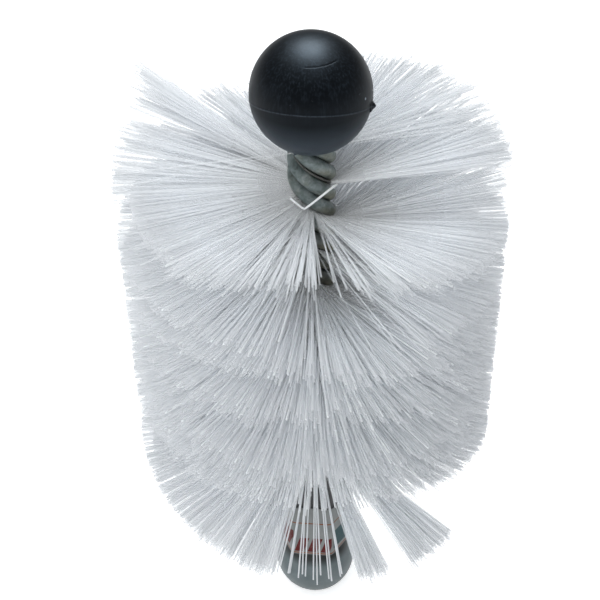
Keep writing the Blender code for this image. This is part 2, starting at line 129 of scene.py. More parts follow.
# Node helpers
class Nodes:
    """A short way to write a node tree."""

    def __init__(self, tree):
        self.tree = tree

    def add(self, kind, inputs=None, **settings):
        node = self.tree.nodes.new(kind)
        for key, value in settings.items():
            setattr(node, key, value)
        for key, value in (inputs or {}).items():
            self.put(node.inputs[key], value)
        return node

    def put(self, socket, value):
        if isinstance(value, bpy.types.NodeSocket):
            self.tree.links.new(value, socket)
        else:
            socket.default_value = value

    def math(self, operation, a, b=0.0, c=0.0):
        node = self.add("ShaderNodeMath", operation=operation)
        for socket, value in zip(node.inputs, (a, b, c)):
            self.put(socket, value)
        return node.outputs[0]

    def vector(self, operation, a, b):
        """A sum of two vectors, or a number such as their distance."""
        node = self.add("ShaderNodeVectorMath", operation=operation)
        self.put(node.inputs[0], a)
        self.put(node.inputs[1], b)
        return node.outputs["Value" if operation in ("DISTANCE", "DOT_PRODUCT") else "Vector"]

    def split(self, where):
        return self.add("ShaderNodeSeparateXYZ", {"Vector": where}).outputs

    def stretched(self, where, scale):
        return self.add("ShaderNodeMapping", {"Vector": where, "Scale": scale}).outputs["Vector"]

    def towards(self, parts, angle):
        """How far a place lies out in a level direction."""
        return self.math(
            "MULTIPLY_ADD", parts["X"], math.cos(angle), self.math("MULTIPLY", parts["Y"], math.sin(angle)),
        )

    def noise(self, where, scale, detail=4.0, rough=0.55, distortion=0.0):
        node = self.add("ShaderNodeTexNoise", {
            "Vector": where,
            "Scale": scale,
            "Detail": detail,
            "Roughness": rough,
            "Distortion": distortion,
        })
        return node.outputs["Fac"]

    def ramp(self, value, stops):
        node = self.add("ShaderNodeValToRGB", {"Fac": value})
        band = node.color_ramp
        while len(band.elements) < len(stops):
            band.elements.new(0.5)
        for element, (at, colour) in zip(band.elements, stops):
            element.position = at
            element.color = (*colour, 1.0)
        return node.outputs["Color"]

    def span(self, value, low, high, to_low=0.0, to_high=1.0, kind="LINEAR"):
        node = self.add("ShaderNodeMapRange", {
            "Value": value,
            "From Min": low,
            "From Max": high,
            "To Min": to_low,
            "To Max": to_high,
        }, interpolation_type=kind)
        return node.outputs["Result"]

    def mix(self, fac, a, b, blend="MIX"):
        node = self.add("ShaderNodeMix", data_type="RGBA", blend_type=blend)
        self.put(node.inputs["Factor"], fac)
        for key, value in (("A", a), ("B", b)):
            self.put(node.inputs[key], (*value, 1.0) if isinstance(value, tuple) else value)
        return node.outputs["Result"]

    def bump(self, height, strength, distance):
        node = self.add("ShaderNodeBump", {
            "Height": height,
            "Strength": strength,
            "Distance": distance,
        })
        return node.outputs["Normal"]

    def attribute(self, name):
        return self.add("ShaderNodeAttribute", attribute_name=name).outputs["Fac"]

    def backdrop_rays(self):
        """The light path's outputs for what shows the backdrop: camera, gloss and transmission rays."""
        path = self.add("ShaderNodeLightPath")
        return [path.outputs[f"Is {kind} Ray"] for kind in ("Camera", "Glossy", "Transmission")]


class Finish(Nodes):
    """A material with one Principled shader."""

    def __init__(self, name):
        self.material = bpy.data.materials.new(name)
        self.material.use_nodes = True
        super().__init__(self.material.node_tree)
        self.shader = self.tree.nodes["Principled BSDF"]

    def set(self, **inputs):
        for key, value in inputs.items():
            self.put(self.shader.inputs[key.replace("_", " ")], value)

    def place(self):
        return self.add("ShaderNodeTexCoord").outputs["Object"]


# Nylon
NYLON_TONES = (
    (0.0, (0.965, 0.974, 0.986)),
    (0.45, (0.978, 0.985, 0.993)),
    (1.0, (0.988, 0.993, 0.998)),
)
# by the share of a strand's length: painted shade, the strands are painted a little darker and yellow near
# the stem, deep in the pack
ROOT_SHADE_TINTS = (
    (0.0, (0.93, 0.925, 0.90)),
    (0.12, (0.975, 0.972, 0.958)),
    (0.35, (0.988, 0.987, 0.978)),
    (0.75, (0.992, 0.996, 1.0)),
)


def nylon_material(name, cover, whiteness):
    """Nylon that covers a share of what lies behind it, so that the strands look translucent."""
    n = Finish(name)
    where = n.place()
    cloud = n.noise(where, 38.0, 3.0)
    level = n.math("MULTIPLY_ADD", cloud, 0.30, n.math("MULTIPLY", n.attribute("tone"), 0.85))
    tones = [(at, tuple(whiteness * part for part in colour)) for at, colour in NYLON_TONES]
    colour = n.mix(1.0, n.ramp(level, tones), n.ramp(n.attribute("along"), ROOT_SHADE_TINTS), "MULTIPLY")
    n.set(Base_Color=colour, Roughness=n.span(cloud, 0.3, 0.7, 0.36, 0.50))
    n.set(IOR=1.50, Specular_IOR_Level=0.35, Alpha=cover)
    n.set(Normal=n.bump(n.noise(where, 900.0, 2.0), 0.12, 0.0002))
    return n.material


# Tubes for strands
def tube_verts(paths, radii, sides):
    """Rings of points round each path: strand x point x side x 3."""
    ahead = np.gradient(paths, axis=1)
    ahead /= np.linalg.norm(ahead, axis=2, keepdims=True)
    across = np.cross(ahead, np.array([0.0, 0.0, 1.0]))
    across /= np.linalg.norm(across, axis=2, keepdims=True)
    over = np.cross(across, ahead)
    rings = []
    for side in range(sides):
        turn = math.tau * side / sides
        rings.append(across * math.cos(turn) + over * math.sin(turn))
    return paths[:, :, None, :] + np.stack(rings, axis=2) * radii[:, None, None, None]


def tubes(name, paths, radii, tones, frosted, sides=5):
    """One mesh of closed tubes. paths is strand x point x 3, with each strand's tip last. frosted is
    the number of the first piece of each strand that has the second material, and a strand with -1
    there has the third one all along."""
    count, points, _ = paths.shape
    verts = tube_verts(paths, radii, sides)
    index = np.arange(count * points * sides).reshape(count, points, sides)
    low = index[:, :-1, :]
    high = index[:, 1:, :]
    corners = [low, np.roll(low, -1, 2), np.roll(high, -1, 2), high]
    quads = np.stack(corners, axis=-1).reshape(-1, 4)
    caps = np.concatenate([index[:, 0, ::-1], index[:, -1, :]])
    mesh = bpy.data.meshes.new(name)
    mesh.vertices.add(count * points * sides)
    mesh.vertices.foreach_set("co", verts.astype(np.float32).ravel())
    corners = np.concatenate([quads.ravel(), caps.ravel()])
    mesh.loops.add(len(corners))
    mesh.loops.foreach_set("vertex_index", corners.astype(np.int32))
    cap_starts = len(quads) * 4 + np.arange(len(caps)) * sides
    starts = np.concatenate([np.arange(len(quads)) * 4, cap_starts])
    mesh.polygons.add(len(starts))
    mesh.polygons.foreach_set("loop_start", starts.astype(np.int32))
    smooth = np.ones(len(starts), bool)
    smooth[len(quads):] = False
    mesh.polygons.foreach_set("use_smooth", smooth)
    kind = (np.arange(points - 1)[None, :] >= frosted[:, None]) + (frosted[:, None] < 0).astype(int)
    kind = np.concatenate([np.repeat(kind.ravel(), sides), kind[:, 0], kind[:, -1]])
    mesh.polygons.foreach_set("material_index", kind.astype(np.int32))
    mesh.update(calc_edges=True)
    mesh.validate()
    tone = mesh.attributes.new("tone", "FLOAT", "POINT")
    tone.data.foreach_set("value", np.repeat(tones, points * sides).astype(np.float32))
    share = np.tile(np.repeat(np.linspace(0.0, 1.0, points), sides), count)
    along = mesh.attributes.new("along", "FLOAT", "POINT")
    along.data.foreach_set("value", share.astype(np.float32))
    obj = bpy.data.objects.new(name, mesh)
    bpy.context.scene.collection.objects.link(obj)
    return obj


# Strands
MM_PER_M = 1000.0
FIRST_SEED = 100
STRAND_R = 0.00044
STRAND_R_SPREAD = 0.06
STRAND_POINTS = 7
# the points stand closer together near the root
POINT_POWER = 1.25
STRANDS_PER_SIDE = 940
UPPER_STRANDS_PER_SIDE = 1250
UPPER_FANS = 2
ROOT_R = 0.0060
ROOT_R_MORE = 0.001
SLOT_HALF_W = 0.0010
LEAVE_R = 0.0150
TILT_FROM_R = 0.010
EARLY_TILT_SHARE = 0.6
SAG = 0.0006
TIP_R = BRUSH_R - 0.0004
TIP_SPREAD = 0.0009
PLACED_TIP_SPREAD = 0.0006
SHORT_SHARE = 0.10
SHORT_BY = 0.014
FAN_SPREAD = math.radians(3.6)
# waves that gather the strands: seed, waves, most turn
CLUMPS = ((11, 9.0, math.radians(0.5)), (12, 31.0, math.radians(0.3)))
TILT_WAVE = (13, 5.0, 0.5)
SIDE_WAVE_SHIFT = 40.0

# How the strands of each side of the pack tilt, in degrees, by the drop of their root. Side 0 comes to
# the front at 40, 85, 130, 175 and 220 mm, side 1 half a turn later, at 62.5, 107.5, 152.5 and 197.5 mm.
SIDE_TILTS = (
    (
        (31.0, -1.0), (36.0, 5.0), (40.0, 12.0), (46.0, 6.0), (50.0, 6.0), (52.0, 9.0),
        (54.0, 8.0), (58.0, 4.0), (62.0, 2.0), (74.0, 0.0), (80.0, -1.0), (85.0, -1.5), (90.0, 0.0),
        (119.0, 0.0), (125.0, 2.0), (130.0, 4.5), (136.0, 2.0), (141.0, 0.0),
        (210.6, 0.0), (212.0, -2.0), (213.4, -5.0), (214.8, -7.5), (216.2, -10.0),
        (217.6, -12.0), (220.0, -11.5), (223.0, -12.0), (226.0, -12.0), (229.0, -8.0),
        (233.5, -4.0),
    ),
    (
        (31.0, -1.0), (32.4, 3.0), (33.8, 5.0), (36.6, 6.5), (40.0, 6.0), (41.4, 2.0), (42.0, -6.0),
        (42.8, -5.5), (43.3, -2.5), (43.7, 0.5), (44.3, 1.5), (45.0, -0.5), (46.8, 0.0), (48.0, 1.5),
        (49.2, 6.0), (50.6, 6.0), (52.0, 2.0), (53.4, 0.0), (56.0, 0.0), (62.5, 13.0), (68.0, 6.0),
        (72.0, 1.0), (76.0, 0.0), (102.0, 3.0), (107.5, 7.0), (112.0, 3.0), (119.0, 0.0),
        (147.0, -3.0), (152.5, -6.0), (158.0, -3.0), (164.0, 0.0), (186.0, 3.0), (191.0, 8.0),
        (197.5, 7.0), (199.0, 10.0), (201.0, 10.0), (204.0, 6.0), (208.0, 2.0), (212.0, 0.0),
        (229.0, 0.0), (233.5, 8.0),
    ),
)
# how widely the tilts scatter, by the drop
TILT_SPREADS = ((104.0, 1.7), (120.0, 4.2), (180.0, 4.2), (192.0, 1.7))

# Strands with a place of their own: drop of the root, least tilt, most tilt
# side 1 at the upper left, a tuft that stands up over a notch, with a flat block under it
TUFT_TILTS = (
    (45.4, 0.0, 0.5), (46.0, 0.0, 6.0), (46.5, 1.0, 12.5), (47.0, 4.0, 17.5), (47.5, 8.0, 22.0),
    (48.0, 12.0, 26.0), (48.35, 13.0, 26.0),
)
TUFT_SHARE = 0.78
TUFT_MOVED_SHARE = 0.16
TUFT_ROOT_DROP = 45.7
TUFT_ROOT_SPAN = 2.6
NOTCH_DROPS = (46.4, 47.2)
NOTCH_TILT = -1.0
BLOCK_TILTS = (
    (47.2, -3.0, 0.0), (48.0, -1.5, 4.5), (49.0, -1.0, 11.5), (50.0, -1.0, 14.0), (51.0, -1.0, 9.5),
    (51.8, -1.0, 4.0),
)
# how much of its scatter round the stem a strand of the tuft, notch or block keeps
GATHERED_SHARE = 0.45
# side 0 at the right, spread over the gap under the uppermost fan
SPREAD_TILTS = (
    (48.5, 0.0, 4.0), (51.5, 5.0, 10.0), (53.0, 4.0, 15.0), (56.0, 3.0, 17.0), (59.0, 1.0, 17.0),
    (62.0, 0.0, 14.0), (64.0, 0.0, 4.0),
)
SPREAD_SHARE = 0.62
# side 1 at the right, rising behind the level edge of its fan
RISING_TILTS = (
    (73.4, 0.0, 5.0), (74.3, 0.0, 16.0), (77.0, 0.0, 17.0), (79.0, 0.0, 12.0), (81.0, 0.0, 6.0),
)
RISING_SHARE = 0.55

# Worn shorter on the left of the upper turns and of the last turn, the share by the drop
WORN_ARC = (-94.0, -42.0)
WORN_DROPS = (52.3, 140.0)
WORN_SHARES = ((61.9, 0.95), (62.0, 0.50), (72.0, 0.50), (80.0, 0.12), (118.0, 0.12), (128.0, 0.50))
WORN_BY = 0.0085
LOW_WORN_DROP = 180.0
LOW_WORN_BY = 0.0055

# Missing strands
# the first fan has none of side 0 in this arc, and few of side 1 near its top, by the drop
FIRST_BARE_ARC = (-75.0, 91.0)
FIRST_KEPT_SHARES = ((31.0, 0.30), (33.0, 0.50), (36.0, 1.0))
# other stretches: side, drops, from_front, and the share that is left, by from_front
LAST_DROP = 208.0
LABEL_ARC = (-12.0, 8.0)
THIN_STRETCH = (1.0, (56.5, 70.0), (-40.0, 56.0), ((1.5, 0.48), (2.5, 0.12), (22.0, 0.16), (32.0, 0.75)))
BARE_STRETCH = (0.0, (76.0, 98.0), (-38.0, 72.0), ((-12.0, 0.65), (-8.0, 0.05), (30.0, 0.05), (42.0, 0.65)))
ABOVE_GRIP = (0.0, (169.0, 181.0), (-15.0, 15.0), ((0.0, 0.45),))
OVER_GRIP = (1.0, (192.0, 203.0), (-22.0, 22.0), ((0.0, 0.27),))
OVER_LABEL = (0.0, (LAST_DROP, math.inf), LABEL_ARC, ((0.0, 0.15),))

# The last fan, side 0: more roots at the left, even strands over the label, two tufts at the right
MOVED_LEFT_DROP = 227.75
LEFT_ROOT_DROP = 211.2
LEFT_ROOT_SPAN = 7.0
EVEN_ARC = (-11.5, 9.5)
EVEN_SCATTER = 1.4
TUFTS_END = 62.0
RIGHT_END = 100.0
TUFT_PARTING = 26.5
SMALL_TUFT = (14.0, 23.8)
LARGE_TUFT = (32.5, 50.0)

# The tips are frosted from this point on or later, and a strand of a high tone all along, so that
# there are more of those at the front
FROSTED_FROM = 3
TONE_SPREAD = 0.22
WHITE_SPREAD = 0.10
FRONT_HALF_ARC = 50.0
FRONT_WHITE_TONE = 0.90
WHITE_TONE = 1.08


def wave(values, seed, slow):
    """A smooth wandering value in about -1..1, the same for the same seed."""
    phases = np.random.default_rng(seed).uniform(0.0, math.tau, 5)
    total = np.zeros_like(values)
    for index, phase in enumerate(phases):
        total += np.sin(values * slow * (1.0 + 0.83 * index) + phase) / (1.0 + 0.4 * index)
    return total / 2.2


def fan_angle(height):
    """Where side 0 of the pack points at a height."""
    return FRONT - math.tau * (height - FRONT_EXIT_Z) / TWIST_PITCH


def between(values, low, high):
    return (values > low) & (values < high)


def from_table(values, table, column=1):
    """A column of the table, read off at each value of its first column."""
    rows = np.array(table)
    return np.interp(values, rows[:, 0], rows[:, column])


def in_rows(values, table):
    return between(values, table[0][0], table[-1][0])


def pack_roots(number, rng):
    """Side and drop of each root in one half turn, and a random place for each."""
    per_side = UPPER_STRANDS_PER_SIDE if number <= UPPER_FANS else STRANDS_PER_SIDE
    count = 2 * per_side
    side = np.repeat([0.0, 1.0], per_side)
    top = PACK_TOP_Z - (number - 1) * FAN_H
    height = top - FAN_H * rng.uniform(0.0, 1.0, count)
    drop = (BALL_Z - height) * MM_PER_M
    moved = rng.uniform(0.0, 1.0, count)
    place = rng.uniform(0.0, 1.0, count)
    if number == 1:
        to_tuft = (side == 1.0) & (moved < TUFT_MOVED_SHARE)
        drop = np.where(to_tuft, TUFT_ROOT_DROP + TUFT_ROOT_SPAN * place, drop)
    if number == FAN_COUNT:
        to_left = (side == 0.0) & (drop > MOVED_LEFT_DROP)
        drop = np.where(to_left, LEFT_ROOT_DROP + LEFT_ROOT_SPAN * place, drop)
    return side, drop, place


def usual_tilts(side, drop, turns, rng):
    tilt = np.zeros(len(drop))
    for which, table in enumerate(SIDE_TILTS):
        tilt = np.where(side == which, from_table(drop, table), tilt)
    seed, slow, most = TILT_WAVE
    spread = from_table(drop, TILT_SPREADS)
    return tilt + (rng.normal(0.0, 1.0, len(drop)) * spread + wave(turns, seed, slow) * most)


def placed_tilts(side, drop, luck, where, tilt):
    """The tilts with those of the tuft, notch, block and spreads, and marks of the first three."""
    tuft = (side == 1.0) & in_rows(drop, TUFT_TILTS) & (luck < TUFT_SHARE)
    block = (side == 1.0) & in_rows(drop, BLOCK_TILTS) & ~tuft
    spread = (side == 0.0) & in_rows(drop, SPREAD_TILTS) & (luck < SPREAD_SHARE)
    rising = (side == 1.0) & in_rows(drop, RISING_TILTS) & (luck < RISING_SHARE)
    placing = (
        (tuft, TUFT_TILTS), (block, BLOCK_TILTS), (spread, SPREAD_TILTS), (rising, RISING_TILTS),
    )
    for chosen, table in placing:
        least = from_table(drop, table, 1)
        most = from_table(drop, table, 2)
        tilt = np.where(chosen, least + (most - least) * where, tilt)
    notch = (side == 1.0) & between(drop, *NOTCH_DROPS) & ~tuft
    tilt = np.where(notch, np.minimum(tilt, NOTCH_TILT), tilt)
    return tilt, tuft | block | notch


def worn_reach(side, drop, from_front, luck, reach):
    left = between(from_front, *WORN_ARC)
    worn = left & between(drop, *WORN_DROPS) & (luck < from_table(drop, WORN_SHARES))
    reach = np.where(worn, reach - WORN_BY, reach)
    low_left = left & (side == 1.0) & (drop > LOW_WORN_DROP)
    return np.where(low_left, reach - LOW_WORN_BY, reach)


def in_stretch(stretch, side, drop, from_front):
    which, drops, arc, _ = stretch
    return (side == which) & between(drop, *drops) & between(from_front, *arc)


def kept_strands(number, side, drop, from_front, luck):
    keep = np.ones(len(drop), bool)
    if number == 1:
        keep &= ~((side == 0.0) & between(from_front, *FIRST_BARE_ARC))
        keep &= ~((side == 1.0) & (luck > from_table(drop, FIRST_KEPT_SHARES)))
    for stretch in (THIN_STRETCH, BARE_STRETCH, ABOVE_GRIP, OVER_GRIP, OVER_LABEL):
        missing = in_stretch(stretch, side, drop, from_front) & (luck > from_table(from_front, stretch[-1]))
        keep &= ~missing
    return keep


def strand_field(number, rng):
    """Root height, slot angle, tip angle, tilt, reach, tone and frosted part of a half turn's strands."""
    side, drop, place = pack_roots(number, rng)
    count = len(drop)
    height = BALL_Z - drop / MM_PER_M
    slot = fan_angle(height) + side * math.pi
    # side 1 has waves of its own
    turns = slot + side * SIDE_WAVE_SHIFT
    clump = sum(wave(turns, seed, slow) * most for seed, slow, most in CLUMPS)
    angle = slot + rng.normal(0.0, 1.0, count) * FAN_SPREAD + clump
    from_front = (np.degrees(angle - FRONT) % 360.0 + 180.0) % 360.0 - 180.0
    tilt = usual_tilts(side, drop, turns, rng)
    reach = TIP_R - np.abs(rng.normal(0.0, TIP_SPREAD, count))
    shorter = rng.uniform(0.0, 1.0, count) < SHORT_SHARE
    reach -= shorter * rng.uniform(0.0, SHORT_BY, count)
    tone = np.clip(0.5 + rng.normal(0.0, TONE_SPREAD, count), 0.0, 1.0)
    luck = rng.uniform(0.0, 1.0, count)
    where = rng.uniform(0.0, 1.0, count)

    reach = worn_reach(side, drop, from_front, luck, reach)
    tilt, placed = placed_tilts(side, drop, luck, where, tilt)
    reach = np.where(placed, TIP_R - where * PLACED_TIP_SPREAD, reach)
    angle = np.where(placed, slot + (angle - slot) * GATHERED_SHARE, angle)
    keep = kept_strands(number, side, drop, from_front, luck)

    # at the right of the last fan, the strands are pushed aside into two tufts
    right = (side == 0.0) & (drop > LAST_DROP) & (from_front >= LABEL_ARC[1]) & (from_front < RIGHT_END)
    keep &= ~(right & (from_front > TUFTS_END))
    small = right & (from_front < TUFT_PARTING)
    for chosen, (low, high) in ((small, SMALL_TUFT), (right & ~small, LARGE_TUFT)):
        angle = np.where(chosen, FRONT + np.radians(low + (high - low) * where), angle)
    # the few strands over the label stand evenly apart
    over_label = in_stretch(OVER_LABEL, side, drop, from_front)
    few = np.nonzero(over_label & keep)[0]
    few = few[np.argsort(slot[few])]
    even = np.linspace(*EVEN_ARC, len(few)) + EVEN_SCATTER * (place[few] - 0.5)
    angle[few] = FRONT + np.radians(even)

    # the tips are frosted, and a few strands all along
    frosted = rng.integers(FROSTED_FROM, STRAND_POINTS - 1, count)
    white_from = np.where(np.abs(from_front) < FRONT_HALF_ARC, FRONT_WHITE_TONE, WHITE_TONE)
    white = (tone + rng.normal(0.0, WHITE_SPREAD, count)) > white_from
    white |= over_label | in_stretch(OVER_GRIP, side, drop, from_front)
    frosted = np.where(white, -1, frosted)
    return [a[keep] for a in (height, slot, angle, np.radians(tilt), reach, tone, frosted)]


def around(radius, angle, off, height):
    """Points at a radius and an angle round the stem, moved sideways."""
    return np.stack([
        radius * np.cos(angle) - off * np.sin(angle),
        radius * np.sin(angle) + off * np.cos(angle),
        height,
    ], axis=1)


def strand_paths(height, slot, angle, tilt, reach, rng):
    """Points along each strand, bent out of its slot, with some sag and sway: strand x point x 3."""
    count = len(height)
    root_r = ROOT_R + rng.uniform(0.0, ROOT_R_MORE, count)
    off = rng.uniform(-1.0, 1.0, count) * SLOT_HALF_W
    rise = (LEAVE_R - TILT_FROM_R) * np.tan(tilt) * EARLY_TILT_SHARE
    root = around(root_r, slot, off, height)
    leave = around(LEAVE_R, slot, off, height + rise)
    tip = around(reach, angle, 0.0, height + (reach - TILT_FROM_R) * np.tan(tilt))
    sag = rng.normal(0.0, SAG, count)
    sway = rng.normal(0.0, SAG, count)
    paths = []
    for t in np.linspace(0.0, 1.0, STRAND_POINTS) ** POINT_POWER:
        point = (1 - t) ** 2 * root + 2 * t * (1 - t) * leave + t ** 2 * tip
        bow = 4.0 * t * (1.0 - t)
        point[:, 2] += sag * bow
        point[:, 0] += -np.sin(angle) * sway * bow
        point[:, 1] += np.cos(angle) * sway * bow
        paths.append(point)
    return np.stack(paths, axis=1)


def make_fans(nylons):
    for number in range(1, FAN_COUNT + 1):
        rng = np.random.default_rng(FIRST_SEED + number)
        height, slot, angle, tilt, reach, tone, frosted = strand_field(number, rng)
        paths = strand_paths(height, slot, angle, tilt, reach, rng)
        radii = STRAND_R * (1.0 + rng.normal(0.0, STRAND_R_SPREAD, len(height)))
        piece = tubes(f"fan_strands_{number}", paths, radii, tone, frosted)
        for material in nylons:
            piece.data.materials.append(material)
        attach(piece, "root")
        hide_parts(f"bristle_fan_{number}")


# The strand that is bent over in front of the stem, by where it shows: pixel x, pixel y, depth
BENT_STRAND = (
    (337.0, 184.0, -0.0085), (333.5, 186.5, -0.0112), (326.0, 192.5, -0.0135),
    (316.0, 200.5, -0.0148), (307.5, 207.0, -0.0152), (304.5, 209.0, -0.0152),
    (301.5, 207.5, -0.0150), (296.0, 203.0, -0.0142), (290.0, 198.0, -0.0130),
)
BENT_STRAND_R = 0.00058


def make_bent_strand(nylon):
    path = np.array([[list(seen_at(px, py, y)) for px, py, y in BENT_STRAND]])
    piece = tubes("bent_strand", path, np.array([BENT_STRAND_R]), np.array([1.0]), np.array([0]), sides=8)
    piece.data.materials.append(nylon)
    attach(piece, "root")


# Turned pieces
SHARP_FROM = math.radians(32.0)


def new_object(name, mesh):
    obj = bpy.data.objects.new(name, mesh)
    bpy.context.scene.collection.objects.link(obj)
    return obj


def turned(name, outline, steps, place=None):
    """A closed turned mesh. The outline is pairs of radius and height from pole to pole."""
    verts = []
    rings = []
    for radius, height in outline:
        if radius == 0.0:
            rings.append([len(verts)])
            verts.append((0.0, 0.0, height))
            continue
        rings.append(list(range(len(verts), len(verts) + steps)))
        for step in range(steps):
            angle = math.tau * step / steps
            verts.append((radius * math.cos(angle), radius * math.sin(angle), height))
    faces = []
    for above, below in zip(rings, rings[1:]):
        for step in range(steps):
            ahead = (step + 1) % steps
            if len(above) == 1:
                faces.append((above[0], below[step], below[ahead]))
            elif len(below) == 1:
                faces.append((above[ahead], above[step], below[0]))
            else:
                faces.append((above[ahead], above[step], below[step], below[ahead]))
    mesh = bpy.data.meshes.new(name)
    mesh.from_pydata(verts, [], faces)
    if place is not None:
        mesh.transform(place)
    bm = bmesh.new()
    bm.from_mesh(mesh)
    bmesh.ops.recalc_face_normals(bm, faces=bm.faces)
    bm.to_mesh(mesh)
    bm.free()
    return new_object(name, mesh)


def combine(obj, other, operation):
    """Adds or cuts another mesh exactly, then drops it."""
    step = obj.modifiers.new("combine", "BOOLEAN")
    step.operation = operation
    step.solver = "EXACT"
    step.object = other
    depsgraph = bpy.context.evaluated_depsgraph_get()
    mesh = bpy.data.meshes.new_from_object(obj.evaluated_get(depsgraph))
    obj.modifiers.clear()
    obj.data = mesh
    bpy.data.objects.remove(other)


def finish_piece(piece, material, nodes=()):
    piece.data.materials.clear()
    piece.data.materials.append(material)
    if piece.type == "MESH":
        piece.data.shade_smooth()
        piece.data.set_sharp_from_angle(angle=SHARP_FROM)
    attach(piece, "root")
    if nodes:
        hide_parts(*nodes)


# Guide ball. Places on it are measured from its centre
BALL_TURN = Matrix.Rotation(SEAM_ROLL, 4, "Y") @ Matrix.Rotation(-SEAM_TILT, 4, "X")
BALL_ARC = 150
BALL_STEPS = 192
SEAT_STEPS = 96
SEAM_HALF_W = 0.00045
SEAM_RISE = 0.00016
SEAM_STEPS = 6
SEAM_REACH = 2.0 * SEAM_HALF_W
SEAM_CLEAR = 2.4 * SEAM_HALF_W
SEAM_HIGHLIGHT_W = (0.00050, 0.00022)
NUB_OUTLINE = (
    (0.0, 0.00230), (0.00045, 0.00220), (0.00100, 0.00180), (0.00150, 0.00130),
    (0.00205, 0.00085), (0.00270, 0.00050), (0.00330, 0.00028), (0.00340, -0.0010), (0.0, -0.0012),
)
NUB_STEPS = 9
NUB_SUNK = 0.0001
FLAKE_AT = (-0.0078, -0.0134, -0.0258)
FLAKE_LEAN = (-0.45, -0.5, -1.0)
FLAKE_OUTLINE = ((0.0, 0.0017), (0.0004, 0.0009), (0.0011, 0.0), (0.0, -0.0009))
FLAKE_STEPS = 5
FLAKE_SUNK = 0.0002
CUT_OVERRUN = 0.002
CREASE_Z = 0.0233
CREASE_BEND = 5.0
CREASE_HALF_W = (0.00010, 0.00034)
CREASE_X = (-0.0040, 0.0134)
CREASE_FADE = 0.002
CREASE_Y = (-0.008, -0.010)
# heights over which the painted reflection of the white floor comes in, low on the ball
FLOOR_REFLECTION_Z = (-0.002, -0.020)
# heights over which the scratches are painted paler, as sheen on them
RUBBED_AND_SHEEN_Z = (-0.004, 0.020)
PAINTED_GLINT_AT = (0.02625, -0.01505, 0.00458)
PAINTED_GLINT_R = (0.00075, 0.00040)
RUBBER_TONES = (
    (0.30, (0.0014, 0.0020, 0.0031)),
    (0.60, (0.0026, 0.0036, 0.0051)),
    (0.80, (0.0060, 0.0078, 0.0104)),
)


def seam_highlight_mask(n, local, fine):
    """The mould seam's line, painted paler as a highlight on its ridge, more in some places than others."""
    level = n.vector("DOT_PRODUCT", local, BALL_TURN.to_3x3() @ Vector((0.0, 0.0, 1.0)))
    off = n.math("ABSOLUTE", n.math("ADD", level, SEAM_DROP))
    return n.math("MULTIPLY", n.span(off, *SEAM_HIGHLIGHT_W), n.span(fine, 0.35, 0.55, 0.35, 0.9))


def crease_mask(n, parts):
    """The short curved crease above the seam, on the front only, for its groove and its painted shade."""
    bend = n.math("MULTIPLY_ADD", n.math("MULTIPLY", parts["X"], parts["X"]), CREASE_BEND, CREASE_Z)
    off = n.math("ABSOLUTE", n.math("SUBTRACT", parts["Z"], bend))
    mask = n.span(off, *CREASE_HALF_W, 1.0, 0.0)
    fades = (
        (parts["X"], CREASE_X[0], CREASE_X[0] + CREASE_FADE),
        (parts["X"], CREASE_X[1], CREASE_X[1] - CREASE_FADE),
        (parts["Y"], *CREASE_Y),
    )
    for value, start, full in fades:
        mask = n.math("MULTIPLY", mask, n.span(value, start, full))
    return mask


def ball_material():
    n = Finish("moulded_rubber")
    local = n.vector("SUBTRACT", n.place(), (0.0, 0.0, BALL_Z))
    parts = n.split(local)
    scratch = n.noise(n.stretched(local, (1.0, 1.0, 0.05)), 1000.0, 3.0, 0.60)
    cloud = n.noise(local, 70.0, 4.0, 0.6)
    fine = n.noise(local, 1200.0, 3.0, 0.6)
    colour = n.ramp(cloud, RUBBER_TONES)
    # painted reflection: the ball's lower part is painted a paler slate, as the white floor reflected in it
    colour = n.mix(n.span(parts["Z"], *FLOOR_REFLECTION_Z, 0.0, 0.9), colour, (0.050, 0.062, 0.076))
    # fine vertical scratches, painted paler and bluish higher up as a painted sheen on them
    rubbed_and_sheen = n.math("MULTIPLY", n.span(scratch, 0.48, 0.66), n.span(parts["Z"], *RUBBED_AND_SHEEN_Z))
    colour = n.mix(n.math("MULTIPLY", rubbed_and_sheen, 0.5), colour, (0.020, 0.028, 0.038))
    # painted highlight along the seam's ridge
    colour = n.mix(seam_highlight_mask(n, local, fine), colour, (0.030, 0.037, 0.046))
    crease = crease_mask(n, parts)
    # painted shade: the crease's groove is painted near black
    colour = n.mix(n.math("MULTIPLY", crease, 0.7), colour, (0.0015, 0.0015, 0.002))
    # pale scuffs, and a painted glint beside the nub
    scuffs = n.span(n.noise(local, 420.0, 2.0, 0.7), 0.70, 0.78)
    colour = n.mix(n.math("MULTIPLY", scuffs, 0.40), colour, (0.060, 0.070, 0.082))
    glint = n.span(n.vector("DISTANCE", local, PAINTED_GLINT_AT), *PAINTED_GLINT_R)
    colour = n.mix(glint, colour, (0.22, 0.26, 0.30))
    rough = n.math("MULTIPLY_ADD", scratch, 0.16, n.span(cloud, 0.3, 0.7, 0.30, 0.40))
    n.set(Base_Color=colour, Roughness=rough)
    n.set(Specular_IOR_Level=0.16, Specular_Tint=(0.78, 0.90, 1.0, 1.0))
    height = n.math("MULTIPLY_ADD", scratch, 0.5, n.math("MULTIPLY_ADD", fine, 0.4, cloud))
    height = n.math("MULTIPLY_ADD", crease, -2.0, height)
    n.set(Normal=n.bump(height, 0.30, 0.00012))
    return n.material


